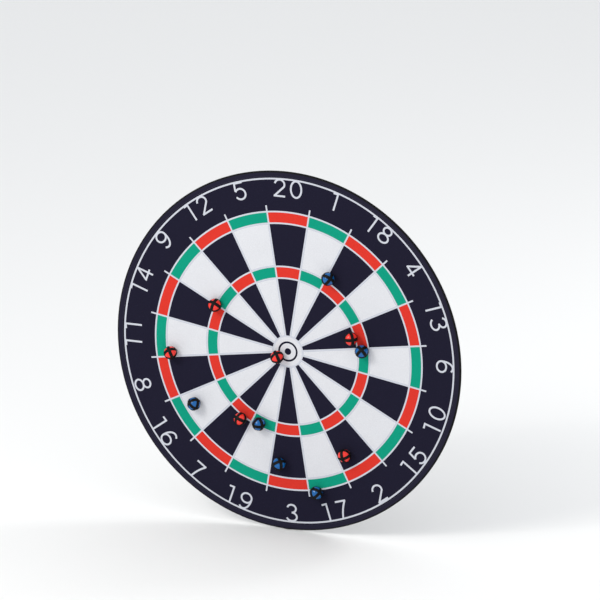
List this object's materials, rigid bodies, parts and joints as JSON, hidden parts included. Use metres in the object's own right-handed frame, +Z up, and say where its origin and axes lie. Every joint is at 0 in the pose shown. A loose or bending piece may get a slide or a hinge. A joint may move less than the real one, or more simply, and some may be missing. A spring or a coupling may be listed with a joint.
{
  "type": "hook-and-loop target board",
  "caption": "Round pop-up fabric target board printed as a dartboard, with light hook-tape balls that stick to its face and a webbing loop at the back to hang it by.",
  "frame": {"origin": "centre of the plane that lies on the wall, behind the middle of the board", "axes": "+X to the right as seen from the front, +Y into the wall, +Z up; the printed face looks along -Y"},
  "size_m": [0.92, 0.0399, 0.92],
  "materials": {
    "printed_pile_cloth": "brushed loop-pile polyester, printed",
    "lining_cloth": "plain woven polyester",
    "binding_tape": "woven polyester tape",
    "webbing": "woven polypropylene webbing",
    "sewing_thread": "spun polyester thread",
    "spring_steel": "blue-grey tempered strip",
    "ferrule_steel": "zinc plated",
    "red_shell": "gloss moulded",
    "blue_shell": "gloss moulded",
    "hook_tape": "woven nylon hook tape"
  },
  "bodies": {
    "board": {"front_cloth": "printed_pile_cloth", "back_cloth": "lining_cloth", "rim_binding": "binding_tape", "edge_stitching": "sewing_thread", "spring_hoop": "spring_steel", "hoop_ferrule": "ferrule_steel", "strap_patch": "binding_tape", "strap_ends": "webbing", "strap_stitching": "sewing_thread"},
    "strap": {"hanging_loop": "webbing"},
    "red_ball_01": {"red_ball_01_half_a": "red_shell", "red_ball_01_half_b": "red_shell", "red_ball_01_hook_tape": "hook_tape"},
    "blue_ball_02": {"blue_ball_02_half_a": "blue_shell", "blue_ball_02_half_b": "blue_shell", "blue_ball_02_hook_tape": "hook_tape"},
    "red_ball_03": {"red_ball_03_half_a": "red_shell", "red_ball_03_half_b": "red_shell", "red_ball_03_hook_tape": "hook_tape"},
    "blue_ball_04": {"blue_ball_04_half_a": "blue_shell", "blue_ball_04_half_b": "blue_shell", "blue_ball_04_hook_tape": "hook_tape"},
    "red_ball_05": {"red_ball_05_half_a": "red_shell", "red_ball_05_half_b": "red_shell", "red_ball_05_hook_tape": "hook_tape"},
    "red_ball_06": {"red_ball_06_half_a": "red_shell", "red_ball_06_half_b": "red_shell", "red_ball_06_hook_tape": "hook_tape"},
    "blue_ball_07": {"blue_ball_07_half_a": "blue_shell", "blue_ball_07_half_b": "blue_shell", "blue_ball_07_hook_tape": "hook_tape"},
    "red_ball_08": {"red_ball_08_half_a": "red_shell", "red_ball_08_half_b": "red_shell", "red_ball_08_hook_tape": "hook_tape"},
    "blue_ball_09": {"blue_ball_09_half_a": "blue_shell", "blue_ball_09_half_b": "blue_shell", "blue_ball_09_hook_tape": "hook_tape"},
    "blue_ball_10": {"blue_ball_10_half_a": "blue_shell", "blue_ball_10_half_b": "blue_shell", "blue_ball_10_hook_tape": "hook_tape"},
    "red_ball_11": {"red_ball_11_half_a": "red_shell", "red_ball_11_half_b": "red_shell", "red_ball_11_hook_tape": "hook_tape"},
    "blue_ball_12": {"blue_ball_12_half_a": "blue_shell", "blue_ball_12_half_b": "blue_shell", "blue_ball_12_hook_tape": "hook_tape"}
  },
  "joints": [
    {"name": "strap_swing", "type": "hinge", "parent": "board", "child": "strap", "pos_m": [0, -0.0011, 0.404], "axis": [1, 0, 0], "range_deg": [0, 172]},
    {"name": "red_ball_01_pull", "type": "slide", "parent": "board", "child": "red_ball_01", "axis": [0, -1, 0], "range_m": [0, 0.12]},
    {"name": "blue_ball_02_pull", "type": "slide", "parent": "board", "child": "blue_ball_02", "axis": [0, -1, 0], "range_m": [0, 0.12]},
    {"name": "red_ball_03_pull", "type": "slide", "parent": "board", "child": "red_ball_03", "axis": [0, -1, 0], "range_m": [0, 0.12]},
    {"name": "blue_ball_04_pull", "type": "slide", "parent": "board", "child": "blue_ball_04", "axis": [0, -1, 0], "range_m": [0, 0.12]},
    {"name": "red_ball_05_pull", "type": "slide", "parent": "board", "child": "red_ball_05", "axis": [0, -1, 0], "range_m": [0, 0.12]},
    {"name": "red_ball_06_pull", "type": "slide", "parent": "board", "child": "red_ball_06", "axis": [0, -1, 0], "range_m": [0, 0.12]},
    {"name": "blue_ball_07_pull", "type": "slide", "parent": "board", "child": "blue_ball_07", "axis": [0, -1, 0], "range_m": [0, 0.12]},
    {"name": "red_ball_08_pull", "type": "slide", "parent": "board", "child": "red_ball_08", "axis": [0, -1, 0], "range_m": [0, 0.12]},
    {"name": "blue_ball_09_pull", "type": "slide", "parent": "board", "child": "blue_ball_09", "axis": [0, -1, 0], "range_m": [0, 0.12]},
    {"name": "blue_ball_10_pull", "type": "slide", "parent": "board", "child": "blue_ball_10", "axis": [0, -1, 0], "range_m": [0, 0.12]},
    {"name": "red_ball_11_pull", "type": "slide", "parent": "board", "child": "red_ball_11", "axis": [0, -1, 0], "range_m": [0, 0.12]},
    {"name": "blue_ball_12_pull", "type": "slide", "parent": "board", "child": "blue_ball_12", "axis": [0, -1, 0], "range_m": [0, 0.12]}
  ]
}
